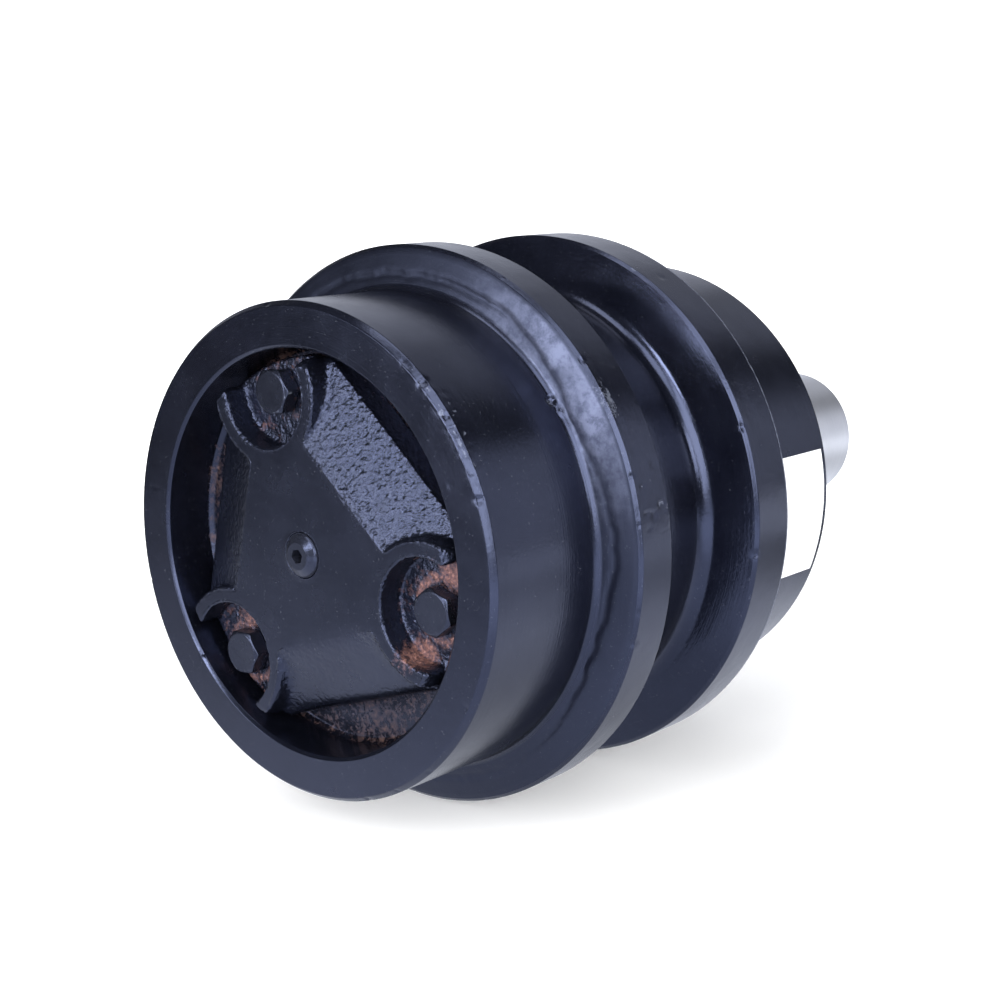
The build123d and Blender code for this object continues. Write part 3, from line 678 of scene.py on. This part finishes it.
def bolt_mesh(x0, h0, seat, turn, length, seed):
    n = 240
    th = np.arange(n) * 2 * math.pi / n
    rad = hex_radius(th - math.radians(turn) + math.pi / 6, 13.0, 0.05)
    head = 5.3
    chamfer = head - 0.04 - np.maximum(rad - 6.12, 0) * 0.578
    rows = []

    def row(radius, height):
        rows.append((np.broadcast_to(radius, th.shape).astype(float), np.broadcast_to(height, th.shape).astype(float)))

    row(0.0, -length)
    row(2.9, -length)
    row(3.98, -length + 1.1)
    for k in range(1, 30):
        row(3.98, -length + 1.1 + (length - 1.2) * k / 30)
    row(3.98, 0.0)
    row(rad - 0.35, 0.0)
    row(rad - 0.10, 0.05)
    row(rad, 0.22)
    for t in np.linspace(0.08, 0.94, 9):
        row(rad, 0.22 + (chamfer - 0.30 - 0.22) * t)
    row(rad, chamfer - 0.16)
    row(rad - 0.03, chamfer - 0.05)
    row(rad - 0.12, chamfer + 0.04)
    for t in np.linspace(0.15, 0.9, 7):
        rr = (rad - 0.12) * (1 - t) + 6.12 * t
        row(rr, head - 0.04 - np.maximum(rr - 6.12, 0) * 0.578 + 0.02 * (1 - t))
    row(6.12, head - 0.05)
    row(5.95, head - 0.01)
    for rr in (5.7, 5.4, 5.0, 4.5, 4.0, 3.4, 2.8, 2.2, 1.6, 1.0, 0.5):
        row(rr, head - 0.01 - 0.04 * (1 - (rr / 5.95) ** 2))
    row(0.0, head - 0.05)
    pts = []
    for rr, hh in rows:
        pts.append(np.column_stack([x0 + rr * np.cos(th), seat - hh, h0 + rr * np.sin(th)]))
    pts = np.concatenate(pts)
    top = pts[:, 1] < seat - 0.1
    nn = fbm(pts, 1.6, seed, 3)
    mid = np.array([x0, seat, h0])
    out = pts - mid
    out[:, 1] = 0
    out /= np.linalg.norm(out, axis=1)[:, None] + 1e-9
    side = top & (pts[:, 1] > seat - 4.6)
    pts = pts + out * (np.where(side, 0.03 * nn - 0.03, 0))[:, None]
    pts[:, 1] += np.where(pts[:, 1] < seat - 4.6, 0.03 * nn + 0.03, 0)
    k = len(rows)
    a = np.arange(k - 1)[:, None] * n
    b = np.arange(n)[None, :]
    b2 = (b + 1) % n
    f = np.stack([a + b, a + b2, a + n + b2, a + n + b], -1).reshape(-1, 4)
    return pts, f


all_p, all_f, all_w, base = [], [], [], 0
for (bx, bh), turn, seed in zip(bolt_xy, (40.0, 5.0, 3.0), (81, 91, 101)):
    pts, f = bolt_mesh(bx, bh, 9.0, turn, 25.0, seed)
    all_p.append(pts)
    all_f.append(f + base)
    rr = np.hypot(pts[:, 0] - bx, pts[:, 2] - bh)
    edge = np.exp(-((rr - 6.25) / 0.35) ** 2) + np.exp(-((rr - 7.2) / 0.35) ** 2)
    w = np.where(pts[:, 1] < 6.0, edge * (0.32 + 0.4 * fbm(pts, 1.8, seed + 5, 2)), 0)
    all_w.append(np.clip(w, 0, 1))
    base += len(pts)
pts = np.concatenate(all_p)
bolts = make_object("cover_bolt_set", (pts - np.array([0, ORIGIN_Z, 0])) * MM, np.concatenate(all_f))
bm = bmesh.new()
bm.from_mesh(bolts.data)
bmesh.ops.remove_doubles(bm, verts=bm.verts, dist=1e-7)
bmesh.ops.dissolve_degenerate(bm, dist=1e-8, edges=bm.edges)
bmesh.ops.recalc_face_normals(bm, faces=bm.faces)
bm.to_mesh(bolts.data)
bm.free()
bp = coords(bolts.data) / MM + np.array([0, ORIGIN_Z, 0])
bw = np.zeros(len(bp))
brust = np.zeros(len(bp))
for bx, bh in bolt_xy:
    rr = np.hypot(bp[:, 0] - bx, bp[:, 2] - bh)
    edge = np.exp(-((rr - 6.25) / 0.3) ** 2) + np.exp(-((rr - 7.2) / 0.35) ** 2)
    bw = np.maximum(bw, np.where((rr < 9) & (bp[:, 1] < 6.0), edge * (0.30 + 0.45 * fbm(bp, 1.8, 87, 2)), 0))
    brust = np.maximum(brust, np.where((rr < 9) & (bp[:, 1] > 7.6), 0.35, 0))
attribute(bolts, "wear", np.clip(bw, 0, 1))
attribute(bolts, "rust", np.clip(brust, 0, 1))
bolts.data.materials.append(bolt_paint)
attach(bolts, "roller")
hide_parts("cover_bolts")

# ================================================= small edges on carried nodes
for name, width in (("filler_plug", 0.00015), ("seal_collar", 0.00025)):
    ob = nodes[name]
    w = ob.modifiers.new("weld", "WELD")
    w.merge_threshold = 2e-6
    b = ob.modifiers.new("soft_edges", "BEVEL")
    b.width, b.segments, b.limit_method, b.angle_limit = width, 2, "ANGLE", math.radians(25)
    b.harden_normals = False


# =================================================================== stage
FLOOR_Z = -0.08875


def bowl(name, prof, turns=96):
    """A pale surface of revolution about the vertical line through the object."""
    rows = []
    for rad, up in prof:
        for k in range(turns):
            a = 2 * math.pi * k / turns
            rows.append((rad * math.cos(a), rad * math.sin(a) - 0.09, FLOOR_Z + up))
    f = []
    for a in range(len(prof) - 1):
        for k in range(turns):
            f.append((a * turns + k, a * turns + (k + 1) % turns, (a + 1) * turns + (k + 1) % turns, (a + 1) * turns + k))
    ob = make_object(name, rows, f)
    return ob


pale = Nodes("stage_pale")
pale.set(Base_Color=pale.ramp(pale.noise(1.2, 2.0), [(0.3, (0.78, 0.78, 0.78)), (0.7, (0.80, 0.80, 0.80))]), Roughness=0.8)
from_middle = pale.t.nodes.new("ShaderNodeVectorMath")
from_middle.operation = "LENGTH"
pale.put(from_middle.inputs[0], pale.coord)
glow = pale.t.nodes.new("ShaderNodeMapRange")
glow.interpolation_type = "SMOOTHSTEP"
pale.put(glow.inputs["Value"], from_middle.outputs["Value"])
glow.inputs["From Min"].default_value, glow.inputs["From Max"].default_value = 0.10, 0.50
glow.inputs["To Min"].default_value, glow.inputs["To Max"].default_value = 0.225, 1.0
pale.set(Emission_Color=(1.0, 1.0, 1.0, 1), Emission_Strength=glow.outputs["Result"])
floor = bowl("stage_floor", [(0.0005, 0.0), (0.3, 0.0), (1.0, 0.0), (2.2, 0.0)])
floor.data.materials.append(pale.mat)
wall = bowl("stage_wall", [(2.2, 0.0)] + [(2.2 + 0.8 * math.sin(k / 10 * math.pi / 2), 0.8 - 0.8 * math.cos(k / 10 * math.pi / 2))
                                          for k in range(1, 11)] + [(3.0, 1.3)])
wall.data.materials.append(pale.mat)
wall.visible_glossy = False      # the surroundings that the paint mirrors come from the world below

floor.visible_glossy = False

# the floor as the paint mirrors it: pale near the object, dying away in front on
# the left, bright behind on the right, dim close under the stub
mirror = Nodes("stage_mirror")


def spread(x, y, inner_r, outer_r):
    """1 within inner_r of the place (x, y) on the floor, 0 beyond outer_r."""
    d = mirror.t.nodes.new("ShaderNodeVectorMath")
    d.operation = "DISTANCE"
    mirror.put(d.inputs[0], mirror.coord)
    d.inputs[1].default_value = (x, y, 0.0)
    r = mirror.t.nodes.new("ShaderNodeMapRange")
    r.interpolation_type = "SMOOTHSTEP"
    mirror.put(r.inputs["Value"], d.outputs["Value"])
    r.inputs["From Min"].default_value, r.inputs["From Max"].default_value = inner_r, outer_r
    r.inputs["To Min"].default_value, r.inputs["To Max"].default_value = 1.0, 0.0
    return r.outputs["Result"]


light_level = mirror.math("ADD", 0.05, mirror.math("MULTIPLY", spread(0.0, -0.09, 0.08, 0.80), 1.22))
light_level = mirror.math("MAXIMUM", light_level, mirror.math("MULTIPLY", spread(0.75, 0.75, 0.55, 1.05), 1.25))
light_level = mirror.math("MAXIMUM", light_level, mirror.math("MULTIPLY", spread(0.55, -0.48, 0.30, 0.62), 2.2))
light_level = mirror.math("MULTIPLY", light_level, mirror.math("SUBTRACT", 1.0, mirror.math("MULTIPLY", spread(0.15, 0.20, 0.05, 0.17), 0.55)))
light_level = mirror.math("MULTIPLY", light_level, mirror.math("SUBTRACT", 1.0, mirror.math("MULTIPLY", spread(-0.26, -0.42, 0.08, 0.45), 0.48)))
light_level = mirror.math("MULTIPLY", light_level, mirror.math("SUBTRACT", 1.0, mirror.math("MULTIPLY", spread(0.03, -0.10, 0.03, 0.14), 0.45)))
light_level = mirror.math("MULTIPLY", light_level, mirror.math("ADD", 0.95, mirror.math("MULTIPLY", mirror.noise(3.0, 2.0), 0.1)))
mirror.set(Base_Color=mirror.ramp(mirror.noise(2.0), [(0.3, (0.02, 0.02, 0.02)), (0.7, (0.03, 0.03, 0.03))]), Roughness=0.9)
mirror.set(Emission_Color=(0.93, 0.97, 1.08, 1), Emission_Strength=light_level)
sheet = make_object("stage_mirror_floor", [(-2.0, -2.1, 0.0), (2.0, -2.1, 0.0), (2.0, 1.9, 0.0), (-2.0, 1.9, 0.0)], [(0, 1, 2, 3)])
sheet.location = (0.0, 0.0, FLOOR_Z - 0.0003)
sheet.data.materials.append(mirror.mat)
sheet.visible_camera = sheet.visible_diffuse = sheet.visible_shadow = sheet.visible_transmission = False


def area(name, where, aim, size, size_y, power, colour=(1, 1, 1), glossy=True):
    la = bpy.data.lights.new(name, "AREA")
    la.shape = "RECTANGLE"
    la.size, la.size_y = size, size_y
    la.energy, la.color = power, colour
    ob = bpy.data.objects.new(name, la)
    ob.location = where
    ob.rotation_mode = "QUATERNION"
    ob.rotation_quaternion = (Vector(aim) - Vector(where)).to_track_quat("-Z", "Y")
    ob.visible_glossy = glossy
    ob.visible_camera = False
    bpy.context.scene.collection.objects.link(ob)
    return ob


target = Vector((0, -0.09, 0))


def from_direction(d, dist):
    return target + Vector(d).normalized() * dist


# soft light from above on the left, which lays the shadow to the right
area("top_box", from_direction((-0.75, 0.05, 1.5), 1.5), target, 1.1, 1.1, 14, glossy=False)
# the large box that stands on the floor in front, left of the camera
area("front_box", (-0.278, -1.09, 0.15), (0.0, -0.18, 0.13), 0.58, 0.47, 5.6)
# overhead, for the fillets at the flange roots
area("over_box", from_direction((0.0, -0.16, 0.98), 1.1), target, 0.5, 0.4, 2.2)
# beside and above the camera, for the broken edges
area("side_box", from_direction((0.66, -0.66, 0.34), 1.25), target, 0.90, 0.85, 14.5)
area("right_box", from_direction((0.42, -0.40, 0.81), 1.25), target, 0.60, 0.50, 4.2)
# out on the right, which widens the sheen in the groove's root
area("flank_box", from_direction((0.90, -0.14, 0.36), 1.25), target, 0.42, 0.42, 3.6)
# a small bright box in front above, for the root fillets and the forged faces
area("high_box", from_direction((0.14, -0.86, 0.48), 1.2), target, 0.32, 0.32, 5.0)

# the studio round the object: dim, with soft boxes where the paint shows them
BOXES = [
    # direction, half width and soft edge in degrees, strength
    ((-0.62, 0.66, 0.30), 20.0, 14.0, 0.85),
    ((-0.40, 0.66, 0.62), 11.0, 9.0, 0.75),
    ((0.69, 0.66, 0.24), 19.0, 5.0, 0.95),
    ((-0.04, 0.80, 0.60), 11.0, 9.0, 0.55),
]
world = bpy.data.worlds.new("studio")
bpy.context.scene.world = world
world.use_nodes = True
wt = world.node_tree
bg = wt.nodes["Background"]
direction = wt.nodes.new("ShaderNodeTexCoord").outputs["Generated"]
total = None
for vec, half, soft, strength in BOXES:
    v = Vector(vec).normalized()
    dot = wt.nodes.new("ShaderNodeVectorMath")
    dot.operation = "DOT_PRODUCT"
    wt.links.new(direction, dot.inputs[0])
    dot.inputs[1].default_value = v
    mr = wt.nodes.new("ShaderNodeMapRange")
    mr.interpolation_type = "SMOOTHSTEP"
    mr.inputs["From Min"].default_value = math.cos(math.radians(half + soft))
    mr.inputs["From Max"].default_value = math.cos(math.radians(max(half - soft, 0.5)))
    mr.inputs["To Max"].default_value = strength
    wt.links.new(dot.outputs["Value"], mr.inputs["Value"])
    add = wt.nodes.new("ShaderNodeMath")
    add.operation = "MAXIMUM"
    if total is None:
        add.inputs[0].default_value = 0.07
    else:
        wt.links.new(total, add.inputs[0])
    wt.links.new(mr.outputs["Result"], add.inputs[1])
    total = add.outputs[0]
bg.inputs[0].default_value = (0.92, 0.96, 1.10, 1)
wt.links.new(total, bg.inputs[1])

# ================================================================== camera
cam_data = bpy.data.cameras.new("camera")
cam = bpy.data.objects.new("camera", cam_data)
bpy.context.scene.collection.objects.link(cam)
cam_data.lens, cam_data.sensor_width, cam_data.sensor_fit = 62.64, 36.0, "HORIZONTAL"
cam_data.clip_start, cam_data.clip_end = 0.01, 50
right = Vector((0.76069, 0.64911, 0.0))
upv = Vector((-0.13431, 0.15739, 0.97836))
back = Vector((0.63507, -0.74423, 0.20691))
rot = Matrix((right, upv, back)).transposed()
cam.rotation_mode = "QUATERNION"
cam.rotation_quaternion = rot.to_quaternion()
cam.location = (0.3682, -0.5226, 0.1222)
bpy.context.scene.camera = cam
bpy.context.scene.view_settings.view_transform = "Standard"
bpy.context.scene.view_settings.look = "None"
